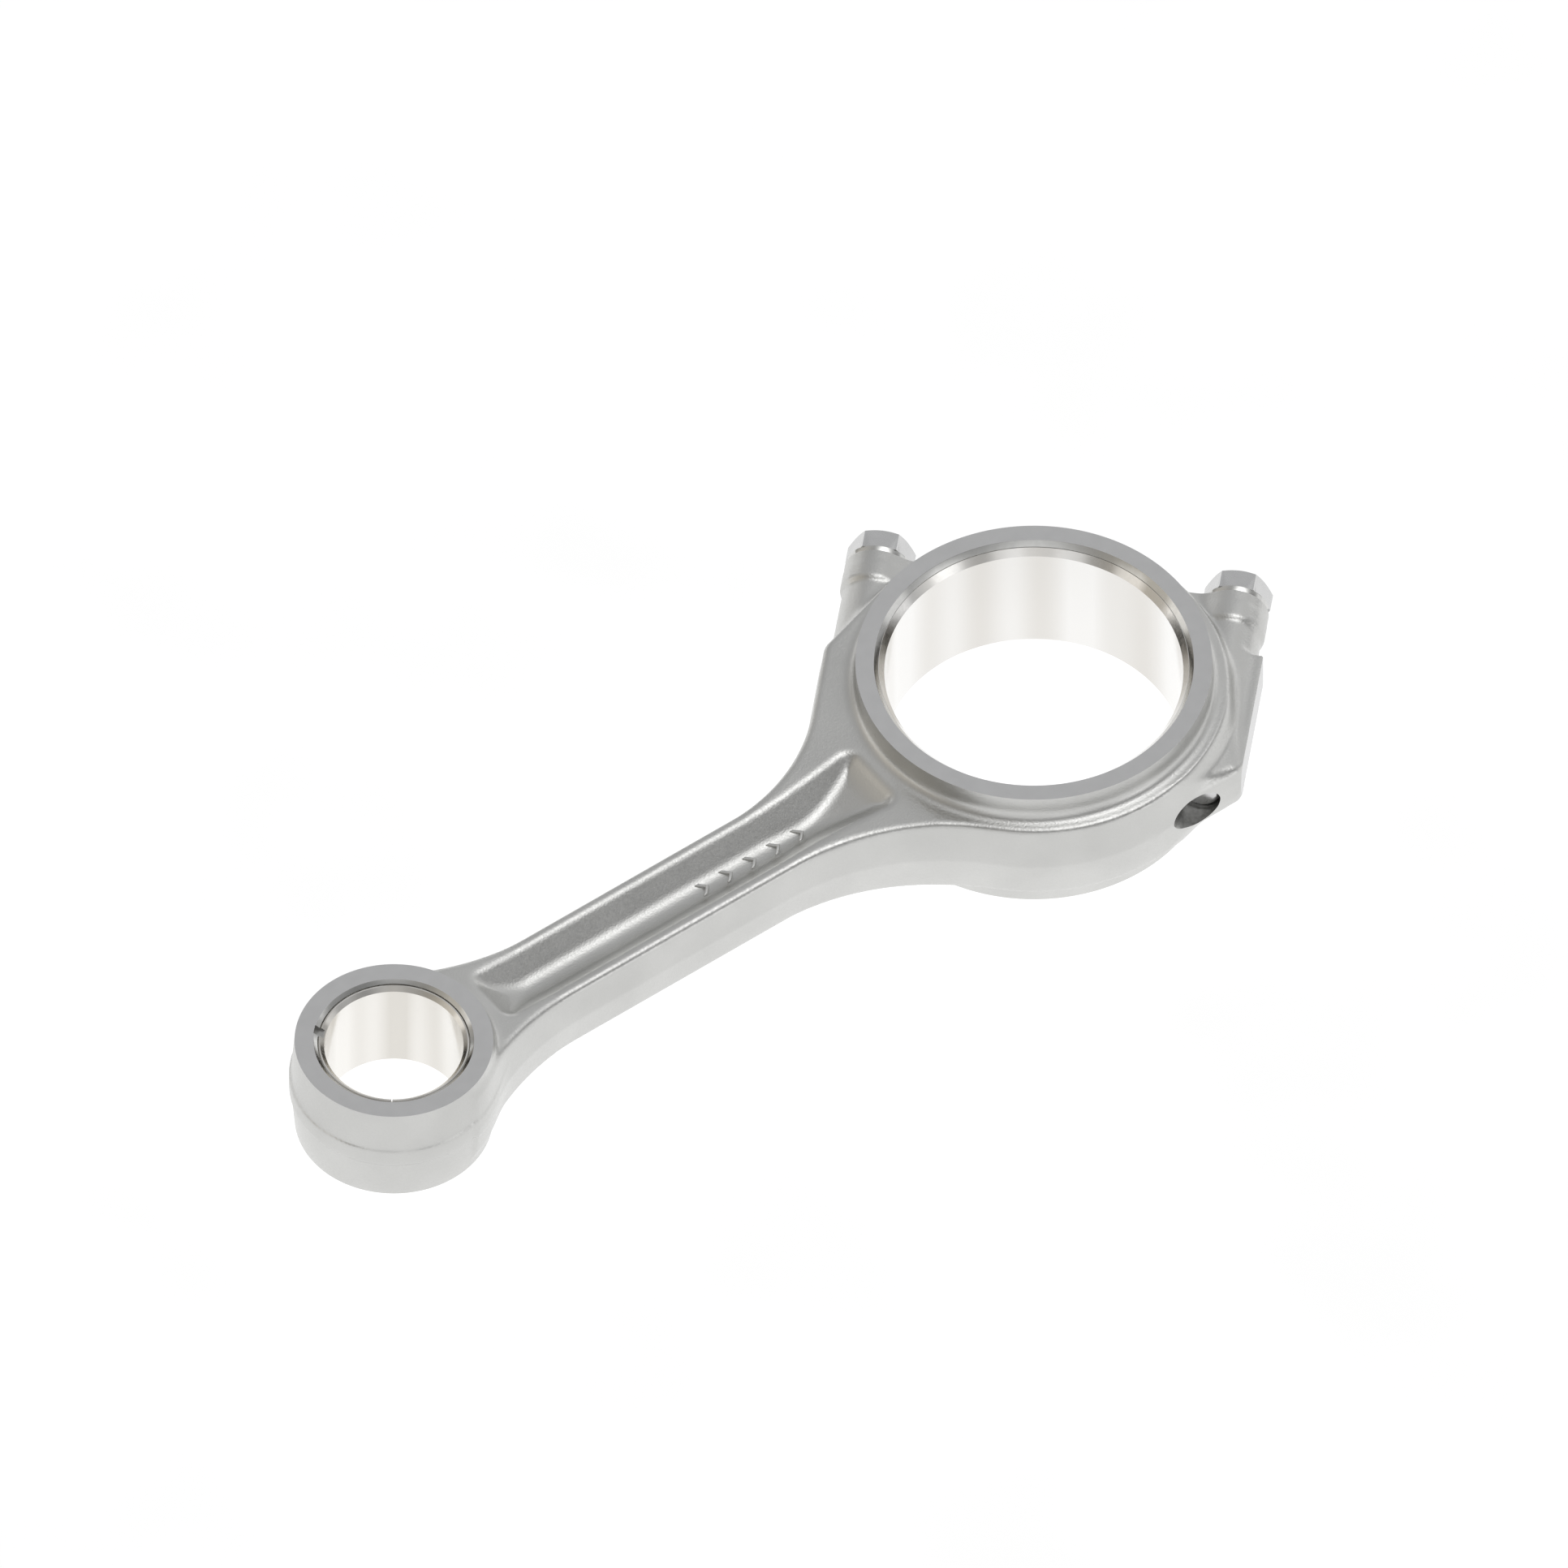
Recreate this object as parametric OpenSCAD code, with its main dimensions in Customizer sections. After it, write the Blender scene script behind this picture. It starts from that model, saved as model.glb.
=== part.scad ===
// Connecting rod with an oblique split big end, as it is assembled on the bench:
// forged rod, cap, two bolts, two bearing shells and a wrapped small end bush.
// The origin is the centre of the crankpin bore, +X runs along the beam away from
// the small end, and +Z runs along both bores towards the marked face.

/* [Rod] */
// Distance between the two bore centres
centre_distance = 200; // [180:1:230]
// Width across the big end thrust faces
big_end_width = 39; // [37:0.5:42]
// Width across the small end faces
small_end_width = 30; // [28:0.5:32]
// Thickness of the beam across its flanges
beam_thickness = 19.6; // [19:0.1:20.4]
// Width of the beam at the parting line
beam_width = 24.4; // [24:0.1:26]
// How far the walls stand in from the parting line, from the draft of the dies
wall_inset = 0.6; // [0.4:0.1:1]

/* [Big end] */
// Running bore of the bearing shells
crankpin_bore = 75; // [74:0.1:75.4]
// Wall thickness of a bearing shell
shell_wall = 1.5; // [1.4:0.1:1.6]
// Outer diameter of the machined thrust faces
thrust_face_dia = 89.4; // [88:0.1:91]
// Outer diameter of the big end body at the parting line
big_body_dia = 101.2; // [100:0.1:103]
// Angle from the beam to the bolts, in degrees
split_angle = 45; // [44:0.5:46]

/* [Bolts] */
// Distance between the two bolt axes
bolt_spacing = 90.4; // [90.4:0.1:91]
// Width across the flats of the hexagon head
head_across_flats = 14.9; // [14.5:0.1:15.5]
// Thread diameter
thread_dia = 10; // [9.5:0.1:10]
// Height of the bolt seats above the joint
seat_height = 39.8; // [39:0.1:41]
// Depth of the bolt tip below the joint
tip_depth = 19.4; // [18:0.1:20]

/* [Small end] */
// Running bore of the bush
pin_bore = 35; // [34:0.1:35.5]
// Outer diameter of the bush
bush_dia = 38.4; // [38:0.1:39]
// Diameter of the machined face of the small end
small_face_dia = 49.8; // [49:0.1:51]
// Width of the butt seam of the wrapped bush
seam_width = 0.35; // [0.2:0.05:0.5]

/* [Hidden] */
$fn = 96;
belt_step = 4;                    // degrees of turn per facet of the outer walls
over = 0.5;                       // how far a cutter runs past the face that it cuts
band_half = 2;                    // half height of the trimmed band at the parting line

steel_forged = "#a8a8a6";
steel_bolt = "#b4b4b4";
shell_overlay = "#d8d8d6";
bush_metal = "#dad8d2";

big_half = big_end_width / 2;
small_half = small_end_width / 2;
beam_half = beam_thickness / 2;
beam_side = beam_width / 2;
body_r = big_body_dia / 2;
body_top = 12;                    // height of the big end body above the parting line
neck_top = 11;                    // height of the neck where it meets the small end
small_band_r = 26.4;              // trimmed flash band round the small end
small_band_half = 2.6;
small_root_r = 25.8;              // small end wall where it meets the flash band

// Flares between the beam and both ends. Each is an arc that meets its neighbours smoothly.
flare_lead = 0.2;                 // keeps a short straight line between two arcs
small_flare_r = 66;
small_flare_reach = flare_lead
    + sqrt(pow(small_band_r + small_flare_r, 2) - pow(beam_side + small_flare_r, 2));
free_flare_r = 64;                // on the side where the bolt hole breaks out
free_flare_reach = flare_lead
    + sqrt(pow(body_r + free_flare_r, 2) - pow(beam_side + free_flare_r, 2));
shoulder_side = 55;               // flat side of the shoulder, out from the bore centre
shoulder_flare_r = 48;
shoulder_end = 8;                 // where the shoulder ends, measured from the joint
shoulder_flare_x = (beam_side + shoulder_flare_r)
    - (shoulder_side + shoulder_flare_r) / sin(split_angle);
corner_r = 3;
foot_height = 8;                  // of the flat wall in which the bolt hole breaks out
foot_round_r = body_r - 0.4;
flat_side = 54.9;                 // machined flats on both sides of the joint
foot_corner_y = corner_r - body_r;
foot_corner_x = (flat_side - corner_r) / sin(split_angle) + foot_corner_y;

// Mouth of the crankpin bore: one bevel that crosses the housing and the shells.
housing_r = crankpin_bore / 2 + shell_wall;
mouth_r = crankpin_bore / 2 + 2.5;
mouth_slope = 1.36;               // depth of the bevel per millimetre of radius
shell_rim = 0.3;                  // flat left on the end of a shell
shell_half = big_half - (mouth_r - housing_r + shell_rim) * mouth_slope;

// Locating lugs of the shells, clear of the bolt holes.
lug_z = 10.5;
lug_width = 5;
lug_length = 4;
lug_height = 1.3;
lug_play = 0.15;

bolt_offset = bolt_spacing / 2;
thread_r = thread_dia / 2;
tapped_r = thread_r + 0.06;
cap_hole_r = thread_r + 0.15;
relief_r = thread_r + 0.5;        // widened run-out of the tapped holes
relief_depth = 17;
blind_depth = 23;
waist_r = 4.4;                    // reduced shank
waist_from = 3;
collar_r = 8.2;
collar_height = 1.8;
head_height = 7.9;                // collar and hexagon together
head_fillet = 0.8;
tip_chamfer = 1.2;

boss_r = 8;                       // rib over each bolt
boss_start = -24;
pad_r = 8.7;                      // round pad under each bolt head
pad_start = 31.4;
flat_half = 5.5;
flat_from = -16;
flat_to = 22;
web_half = 6.5;                   // web between the big end and each pad

// Hollow of the I-beam: a channel with round corners, on both faces.
channel_r = 5;
channel_side = 2.5;               // half of its flat floor
channel_small_x = -166;
channel_wide_x = -78;
channel_big_x = -56;
channel_big_side = 4.8;

// Raised direction mark on the floor of the front channel.
mark_count = 5;
mark_pitch = 7.4;
mark_first_x = -103;
mark_height = 0.45;
mark_arm = 2.3;
mark_stroke = 0.9;

bush_half = 14.2;
bush_bevel = 1;
bush_edge = 0.4;
eye_bevel = 0.8;
seam_angle = 231.7;
notch_angle = 132.8;
notch_width = 2.6;
notch_z = 13.5;

module both_faces() {
    children();
    mirror([0, 0, 1]) children();
}

module at_small_end() translate([-centre_distance, 0, 0]) children();

// Joint frame: the joint is its plane x = 0, and the bolt heads are on its +X side.
module in_joint_frame() rotate([0, 0, split_angle]) children();

// Frame of one bolt: +Z points to its head, and z = 0 is the joint.
module along_bolt(side, offset = bolt_offset)
    in_joint_frame() translate([0, side * offset, 0]) rotate([0, 90, 0]) children();

module cap_half_space() {
    size = 150;
    in_joint_frame() translate([0, -size / 2, -size / 2]) cube(size);
}

// An outline is a list of circles, each [centre, radius], that a belt runs round with the
// solid on its left. A negative radius is a hollow curve. heading() is the direction of the
// belt between two circles, and belt() gives its points, moved in by inset.
function heading(a, b) =
    let (d = b[0] - a[0])
    atan2(d[1], d[0]) + asin(max(-1, min(1, (a[1] - b[1]) / norm(d))));

function wrap(angle) = angle - 360 * floor(angle / 360);

function belt(circles, inset = 0) =
    let (n = len(circles))
    [for (i = [0 : n - 1])
        let (here = circles[i], way = sign(here[1]),
             from = heading(circles[(i + n - 1) % n], here),
             to = heading(here, circles[(i + 1) % n]),
             turn = way * wrap(way * (to - from)),
             steps = ceil(abs(turn) / belt_step))
        for (k = [0 : steps])
            let (angle = from + turn * k / steps)
            here[0] + (here[1] - inset) * [sin(angle), -cos(angle)]];

// The inside of a belt, h to each side of the parting line. The walls stand in a little
// from the trimmed band that the dies leave at the parting line.
module forged(circles, h) {
    linear_extrude(2 * band_half, center = true) polygon(belt(circles));
    linear_extrude(2 * h, center = true) polygon(belt(circles, wall_inset));
}

function joint_point(out, along) =
    [out * cos(split_angle) - along * sin(split_angle),
     out * sin(split_angle) + along * cos(split_angle)];

body_outline = [
    [[-centre_distance, 0], small_band_r],
    [[small_flare_reach - centre_distance, -beam_side - small_flare_r], -small_flare_r],
    [[-free_flare_reach, -beam_side - free_flare_r], -free_flare_r],
    [[0, 0], body_r],
    [joint_point(shoulder_end, shoulder_side - corner_r), corner_r],
    [[shoulder_flare_x, beam_side + shoulder_flare_r], -shoulder_flare_r],
    [[small_flare_reach - centre_distance, beam_side + small_flare_r], -small_flare_r]];

foot_outline = [[[0, 0], foot_round_r], [[foot_corner_x, foot_corner_y], corner_r]];

// The top of the body steps down in slopes from the big end to the beam and up to the neck.
module above_body() {
    far = 2 * centre_distance;
    rotate([90, 0, 0])
        linear_extrude(far, center = true)
            polygon([[-far, neck_top], [24 - centre_distance, neck_top],
                     [48 - centre_distance, beam_half], [-84, beam_half], [-52, body_top],
                     [far, body_top], [far, far], [-far, far]]);
}

module body() {
    difference() {
        forged(body_outline, body_top);
        both_faces() above_body();
    }
    forged(foot_outline, foot_height);
}

module small_end_blank() {
    cylinder(h = small_band_half, r = small_band_r);
    cylinder(h = small_half, r1 = small_root_r + small_band_half * 0.08, r2 = small_face_dia / 2);
}

// Rib, flat, web and pad that carry one bolt.
module bolt_boss(side) {
    along_bolt(side) {
        translate([0, 0, boss_start]) cylinder(h = pad_start + over - boss_start, r = boss_r);
        translate([0, 0, pad_start]) cylinder(h = seat_height - pad_start, r = pad_r);
    }
    in_joint_frame() mirror([0, side < 0 ? 1 : 0, 0]) {
        translate([flat_from, bolt_offset - 4, -flat_half])
            cube([flat_to - flat_from, flat_side - bolt_offset + 4, 2 * flat_half]);
        translate([0, bolt_offset - 16, -web_half])
            cube([seat_height, 16, 2 * web_half]);
    }
}

// Everything beyond the flat lower wall, where the ribs are trimmed.
module below_foot()
    translate([-body_r, -2 * body_r, -big_half])
        cube([3 * body_r, body_r, 2 * big_half]);

// The hull that widens the channel is a little larger than the straight part, so that its
// facets stay clear of the straight part's true cylinders.
module channel() {
    wide_r = channel_r + 0.1;
    translate([0, 0, beam_half]) {
        for (side = [-1, 1])
            translate([channel_small_x, side * channel_side, 0]) {
                sphere(channel_r);
                rotate([0, 90, 0])
                    cylinder(h = channel_wide_x - channel_small_x + 2, r = channel_r);
            }
        translate([channel_small_x, -channel_side, -channel_r])
            cube([channel_wide_x - channel_small_x + 2, 2 * channel_side, 3 * channel_r]);
        translate([channel_small_x, 0, 0])
            rotate([90, 0, 0]) cylinder(h = 2 * channel_side, r = channel_r, center = true);
        hull() for (side = [-1, 1]) {
            translate([channel_wide_x, side * channel_side, 0]) sphere(wide_r, $fn = 32);
            translate([channel_big_x, side * channel_big_side, 0]) sphere(wide_r, $fn = 32);
        }
    }
}

module direction_mark() {
    floor_z = beam_half - channel_r;
    for (i = [0 : mark_count - 1])
        translate([mark_first_x + i * mark_pitch, 0, floor_z - over])
            linear_extrude(mark_height + over)
                for (side = [-1, 1])
                    rotate(side * 45)
                        translate([-mark_stroke / 2, side > 0 ? -mark_stroke / 2 : -mark_arm])
                            square([mark_stroke, mark_arm + mark_stroke / 2]);
}

module forging() {
    difference() {
        body();
        both_faces() channel();
    }
    direction_mark();
    cylinder(h = big_end_width, r = thrust_face_dia / 2, center = true);
    at_small_end() both_faces() small_end_blank();
    difference() {
        for (side = [-1, 1]) bolt_boss(side);
        below_foot();
    }
}

// Straight bore with the same bevel at both mouths.
module bevelled_bore(r, half, bevel, slope) {
    cylinder(h = 2 * half + 2 * over, r = r, center = true);
    both_faces() translate([0, 0, half - bevel * slope])
        cylinder(h = bevel * slope + over, r1 = r, r2 = r + bevel + over / slope);
}

module lug(play) {
    in_joint_frame() for (end = [-1, 1])
        rotate(end > 0 ? 0 : 180)
            translate([0, housing_r - 1, lug_z - lug_width / 2 - play])
                cube([lug_length + play, 1 + lug_height + play, lug_width + 2 * play]);
}

module stake_notch()
    rotate(notch_angle)
        translate([pin_bore / 2 - 1, -notch_width / 2, notch_z])
            cube([bush_dia / 2 - pin_bore / 2 + 2.2, notch_width, 3]);

module bolt_holes() {
    for (side = [-1, 1]) {
        along_bolt(side) {
            translate([0, 0, -blind_depth]) cylinder(h = blind_depth + over, r = tapped_r);
            cylinder(h = seat_height + over, r = cap_hole_r);
        }
    }
    along_bolt(-1) translate([0, 0, -relief_depth - 40]) cylinder(h = 40, r = relief_r);
    along_bolt(1) translate([0, 0, -blind_depth])
        cylinder(h = blind_depth - relief_depth, r = relief_r);
}

module machined_forging()
    difference() {
        forging();
        bevelled_bore(housing_r, big_half, mouth_r - housing_r, mouth_slope);
        at_small_end() {
            bevelled_bore(bush_dia / 2, small_half, eye_bevel, 1);
            stake_notch();
        }
        bolt_holes();
        lug(lug_play);
    }

module rod()
    color(steel_forged) difference() {
        machined_forging();
        cap_half_space();
    }

module cap()
    color(steel_forged) intersection() {
        machined_forging();
        cap_half_space();
    }

// Ring of both shells, with bevelled ends and one locating lug on each half.
module shell_ring() {
    difference() {
        cylinder(h = 2 * shell_half, r = housing_r, center = true);
        bevelled_bore(crankpin_bore / 2, shell_half, shell_wall - shell_rim, mouth_slope);
    }
    difference() {
        lug(0);
        cylinder(h = big_end_width, r = crankpin_bore / 2 + shell_wall / 2, center = true);
    }
}

module rod_side_shell()
    color(shell_overlay) difference() {
        shell_ring();
        cap_half_space();
    }

module cap_side_shell()
    color(shell_overlay) intersection() {
        shell_ring();
        cap_half_space();
    }

module small_end_bush()
    color(bush_metal) at_small_end() difference() {
        union() {
            cylinder(h = 2 * (bush_half - bush_edge), r = bush_dia / 2, center = true);
            both_faces() translate([0, 0, bush_half - bush_edge])
                cylinder(h = bush_edge, r1 = bush_dia / 2, r2 = bush_dia / 2 - bush_edge);
        }
        bevelled_bore(pin_bore / 2, bush_half, bush_bevel, 0.95);
        rotate(seam_angle)
            translate([0, -seam_width / 2, -small_end_width])
                cube([bush_dia, seam_width, 2 * small_end_width]);
        stake_notch();
    }

module hexagon_head() {
    across_corners = head_across_flats / cos(30);
    face_r = head_across_flats / 2 - 0.3;
    slope = tan(30);
    hex_height = head_height - collar_height;
    cylinder(h = collar_height, r = collar_r);
    translate([0, 0, collar_height]) intersection() {
        rotate(30) cylinder(h = hex_height, d = across_corners, $fn = 6);
        cylinder(h = hex_height, r1 = face_r + hex_height / slope, r2 = face_r);
    }
}

module bolt(side)
    color(steel_bolt) along_bolt(side) {
        translate([0, 0, seat_height]) hexagon_head();
        translate([0, 0, waist_from]) cylinder(h = seat_height - waist_from, r = waist_r);
        translate([0, 0, tip_chamfer - tip_depth])
            cylinder(h = tip_depth - tip_chamfer + waist_from, r = thread_r);
        translate([0, 0, -tip_depth])
            cylinder(h = tip_chamfer, r1 = thread_r - tip_chamfer, r2 = thread_r);
        translate([0, 0, seat_height - 3]) cylinder(h = 3, r = thread_r);
    }

rod();
cap();
rod_side_shell();
cap_side_shell();
small_end_bush();
bolt(1);  // bolt_beam_side
bolt(-1);  // bolt_free_side
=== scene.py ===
# %% [markdown]
# # A connecting rod, from forging to finished part
# The real rod is hammered from a hot steel bar between two dies, shot blasted, and then
# machined only where it matters: the two bores, their side faces, the bolt seats and holes,
# and a flat for clamping. Last, the cap is broken off. This lesson makes it in the same order.
# First a soft, rounded forging is grown from a distance field, then crisp machined faces are
# cut into it with booleans, and then it is split.

# %% The fixed frame
from math import asin, atan2, cos, hypot, pi, radians, sin, sqrt, tan

import bpy
import bmesh
import numpy as np
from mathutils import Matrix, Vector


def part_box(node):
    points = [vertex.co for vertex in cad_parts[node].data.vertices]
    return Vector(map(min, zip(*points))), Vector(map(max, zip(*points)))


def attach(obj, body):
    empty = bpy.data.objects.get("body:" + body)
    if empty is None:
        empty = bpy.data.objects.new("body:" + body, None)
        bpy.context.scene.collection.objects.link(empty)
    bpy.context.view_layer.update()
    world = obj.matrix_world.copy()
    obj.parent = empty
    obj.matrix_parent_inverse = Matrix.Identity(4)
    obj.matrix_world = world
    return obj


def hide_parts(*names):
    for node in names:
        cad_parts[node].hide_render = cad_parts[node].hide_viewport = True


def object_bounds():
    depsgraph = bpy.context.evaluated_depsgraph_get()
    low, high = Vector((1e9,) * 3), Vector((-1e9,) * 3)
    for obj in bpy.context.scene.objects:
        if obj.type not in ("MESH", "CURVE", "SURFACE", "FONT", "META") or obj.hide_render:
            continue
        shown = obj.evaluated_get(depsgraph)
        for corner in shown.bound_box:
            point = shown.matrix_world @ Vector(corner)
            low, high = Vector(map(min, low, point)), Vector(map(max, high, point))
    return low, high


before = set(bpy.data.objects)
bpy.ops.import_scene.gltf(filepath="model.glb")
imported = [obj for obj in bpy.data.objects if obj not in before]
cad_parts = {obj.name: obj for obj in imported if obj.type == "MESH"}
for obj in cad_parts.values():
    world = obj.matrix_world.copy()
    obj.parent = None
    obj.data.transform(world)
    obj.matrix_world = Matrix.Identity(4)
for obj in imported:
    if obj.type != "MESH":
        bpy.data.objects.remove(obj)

import openvdb
from mathutils import Matrix, Vector

MM = 0.001                # one millimetre in Blender's metres
cad_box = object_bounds()
print("CAD box in metres:", cad_box)

# %% [markdown]
# ## Where things are
# All lengths here are in millimetres. The origin is the centre of the crankpin bore, X runs
# along the beam away from the small end, and Z runs along the bores. The big end is split at
# 45 degrees, so bolts and cap are easier to place by two other directions: ALONG a bolt,
# towards its head, and ACROSS, from one bolt to the other.

# %% Sizes shared by all pieces
centre_low, centre_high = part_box("small_end_bush")
CENTRES = -(centre_low[0] + centre_high[0]) / 2 / MM
BIG_HALF = 19.5           # half the width across the thrust faces
SMALL_HALF = 15.0         # half the width across the small end
THRUST_R = 44.7           # outside of the thrust face
BODY_R = 50.6             # big end body at the parting line
HOUSING_R = 39.0          # bore that holds the bearing shells
CRANKPIN_R = 37.5         # the finished bearing
MOUTH_R = 40.0            # where the bevel of the mouth meets the thrust face
MOUTH_SLOPE = 1.36        # depth of that bevel per millimetre of radius
EYE_R = 19.2              # bore that holds the bush
PIN_R = 17.5              # the finished bush
BOLT_OUT = 45.2           # from the bore centre out to a bolt's axis
SEAT = 39.8               # bolt seats, above the joint
TIP = -20.4               # bolt tips, below the joint
SHOULDER = 55.0           # shoulder by the beam, from the bore centre
FLAT_SIDE = 54.9          # machined flats beside the joint
DRAFT = tan(radians(7))   # how much a forged wall leans in per millimetre of height
ALONG = np.array([sqrt(0.5), sqrt(0.5), 0.0])
ACROSS = np.array([sqrt(0.5), -sqrt(0.5), 0.0])
print(f"bore centres {CENTRES:.1f} mm apart")


def from_joint(across, along):
    """The x and y of a point given in the directions of the joint."""
    point = across * ACROSS + along * ALONG
    return [point[0], point[1]]


# %% [markdown]
# ## Camera
# The camera looks down on the rod from about 50 degrees, from the small end's right. Parts are
# often shown like this without perspective, so that parallel lines stay parallel. A long lens
# far away would come close to it. An orthographic camera gives it exactly, and its scale is
# simply the width of the view.

# %% Camera
AZIMUTH, ELEVATION = radians(-36.7), radians(50.17)
LOOK_AT = Vector((-58.4, 26.4, -11.5)) * MM
VIEW_WIDTH = 0.3929

camera_data = bpy.data.cameras.new("camera")
camera_data.type = "ORTHO"
camera_data.ortho_scale = VIEW_WIDTH
camera_data.clip_end = 10
camera = bpy.data.objects.new("camera", camera_data)
bpy.context.collection.objects.link(camera)
away = Vector((sin(AZIMUTH) * cos(ELEVATION), -cos(AZIMUTH) * cos(ELEVATION), sin(ELEVATION)))
camera.location = LOOK_AT + away * 1.0
camera.rotation_euler = away.to_track_quat("Z", "Y").to_euler()
bpy.context.scene.camera = camera
print("camera at", [round(v, 3) for v in camera.location])

# %% [markdown]
# ## Materials
# A material is a small graph of nodes. One function adds a node with its settings and links,
# and another turns the usual sRGB hex colours into the linear values that the renderer needs.


# %% Colours and nodes
def srgb(code):
    """The linear colour of a hex code."""
    channels = [int(code[i:i + 2], 16) / 255 for i in (1, 3, 5)]
    linear = [c / 12.92 if c <= 0.04045 else ((c + 0.055) / 1.055) ** 2.4 for c in channels]
    return (*linear, 1.0)


def add(tree, kind, settings=None, stops=(), **inputs):
    """Adds a node. Settings are its own options, and stops are a ramp's places and colours.
    An input is a value, a socket to link, or a node whose first output is linked."""
    node = tree.nodes.new(kind)
    for name, value in (settings or {}).items():
        setattr(node, name, value)
    for stop, (position, code) in zip(node.color_ramp.elements if stops else (), stops):
        stop.position, stop.color = position, srgb(code)
    for name, value in inputs.items():
        key = name.replace("_", " ")
        socket = node.inputs[int(key[3:])] if key.startswith("in ") else node.inputs[key]
        if isinstance(value, bpy.types.Node):
            value = value.outputs[0]
        if isinstance(value, bpy.types.NodeSocket):
            tree.links.new(value, socket)
        else:
            socket.default_value = value
    return node


def new_material(name):
    """A material with an empty graph, and the socket that says where a point is."""
    material = bpy.data.materials.new(name)
    material.use_nodes = True
    tree = material.node_tree
    tree.nodes.clear()
    place = add(tree, "ShaderNodeTexCoord").outputs["Object"]
    return material, tree, place


# %% [markdown]
# All finishes here are bare metals. They differ in colour, in roughness and in how large their
# faint patches are, so two short functions make such patches from noise.


# %% Patches from noise
NOISE = (0.3, 0.7)        # nearly all of a noise lies between these values


def noise_scale(size_mm):
    """The scale of a noise whose grains are about size_mm across."""
    return 1 / (2 * size_mm * MM)


def mottled_color(tree, place, size_mm, dark, light, detail=2.0):
    """Patches of two close colours, about size_mm across."""
    patches = add(tree, "ShaderNodeTexNoise", Vector=place, Scale=noise_scale(size_mm),
                  Detail=detail)
    return add(tree, "ShaderNodeValToRGB", stops=zip(NOISE, (dark, light)), Fac=patches)


def mottled_roughness(tree, place, size_mm, smooth, rough):
    """Patches that are a little smoother and rougher, about size_mm across."""
    patches = add(tree, "ShaderNodeTexNoise", Vector=place, Scale=noise_scale(size_mm))
    return add(tree, "ShaderNodeMapRange", Value=patches, From_Min=NOISE[0], From_Max=NOISE[1],
               To_Min=smooth, To_Max=rough)


def finish_metal(tree, color, roughness, bump=None):
    """Ends a graph with the shader of a bare metal."""
    relief = {} if bump is None else {"Normal": bump}
    shader = add(tree, "ShaderNodeBsdfPrincipled", Base_Color=color, Roughness=roughness,
                 Metallic=1.0, **relief)
    add(tree, "ShaderNodeOutputMaterial", Surface=shader)


# %% [markdown]
# ### Forged steel, shot blasted
# Steel shot knocks the scale off the forging and leaves overlapping dents of 0.2 to 0.4 mm.
# The eye sees a satin grey with a fine sparkle and soft highlights on the rounded edges. The
# dents are far too many to model, so one noise drives both the bump and the roughness.


# %% Forged steel
DENT, DENT_DEPTH = 0.28, 0.06     # millimetres


def forged_steel():
    material, tree, place = new_material("forged_steel_shot_blasted")
    color = mottled_color(tree, place, 9.0, "#C6C6C4", "#CECECC")
    dents = add(tree, "ShaderNodeTexNoise", Vector=place, Scale=noise_scale(DENT))
    roughness = add(tree, "ShaderNodeMapRange", Value=dents, From_Min=NOISE[0],
                    From_Max=NOISE[1], To_Min=0.28, To_Max=0.40)
    bump = add(tree, "ShaderNodeBump", Height=dents, Strength=0.9, Distance=DENT_DEPTH * MM)
    finish_metal(tree, color, roughness, bump)
    return material


# %% [markdown]
# ### Machined steel
# The thrust faces are ground, and the bolt seats and flats are milled: flat, plain and even.
# The bevels round the bores are turned so finely that they mirror what is round them. The
# walls of drilled holes are darker. The joint is broken open, not cut, so its two faces are
# coarse and crystalline and fit each other in one way only.


# %% Machined steel
def ground_steel():
    material, tree, place = new_material("steel_ground")
    color = mottled_color(tree, place, 2.0, "#CCCCCC", "#D0D0D0")
    roughness = mottled_roughness(tree, place, 0.15, 0.30, 0.36)
    finish_metal(tree, color, roughness)
    return material


def bevel_steel():
    material, tree, place = new_material("steel_fine_turned")
    color = mottled_color(tree, place, 1.0, "#CFCFCD", "#D6D6D4")
    roughness = mottled_roughness(tree, place, 0.3, 0.10, 0.17)
    finish_metal(tree, color, roughness)
    return material


def drilled_steel():
    material, tree, place = new_material("steel_drilled")
    color = mottled_color(tree, place, 0.6, "#A4A4A2", "#BEBEBC")
    roughness = mottled_roughness(tree, place, 0.2, 0.30, 0.42)
    finish_metal(tree, color, roughness)
    return material


CRYSTAL, CRYSTAL_DEPTH = 0.5, 0.3     # millimetres


def split_steel():
    material, tree, place = new_material("steel_fracture_split")
    crystals = add(tree, "ShaderNodeTexNoise", Vector=place, Scale=noise_scale(CRYSTAL),
                   Detail=4.0)
    color = add(tree, "ShaderNodeValToRGB", stops=zip(NOISE, ("#8E8E8C", "#B6B6B4")),
                Fac=crystals)
    bump = add(tree, "ShaderNodeBump", Height=crystals, Strength=0.8,
               Distance=CRYSTAL_DEPTH * MM)
    finish_metal(tree, color, 0.5, bump)
    return material


# %% [markdown]
# ### Bearing metals and bolts
# The shells carry a thin, soft overlay that is polished like a mirror, and the bush is bored
# to a fine finish. Each has a warm tint of its own, and its faint patches are stretched along Z
# into paler and darker bands: painted reflections of the streaks that a polished bore mirrors.
# The bolts are cold formed and left clean.


# %% Bearing metals and bolts
BANDS_ALONG_Z = (1, 1, 0.04)  # a pattern with this scale is 25 times as long as it is wide


def bearing_overlay():
    material, tree, place = new_material("bearing_overlay_polished")
    along_bore = add(tree, "ShaderNodeMapping", Vector=place, Scale=BANDS_ALONG_Z)
    # Painted reflection: the paler and darker bands along the bore stand in for mirrored streaks.
    color = mottled_color(tree, along_bore, 7.0, "#D3D0CB", "#E9E8E6", detail=0.0)
    roughness = mottled_roughness(tree, place, 0.5, 0.11, 0.18)
    finish_metal(tree, color, roughness)
    return material


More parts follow.
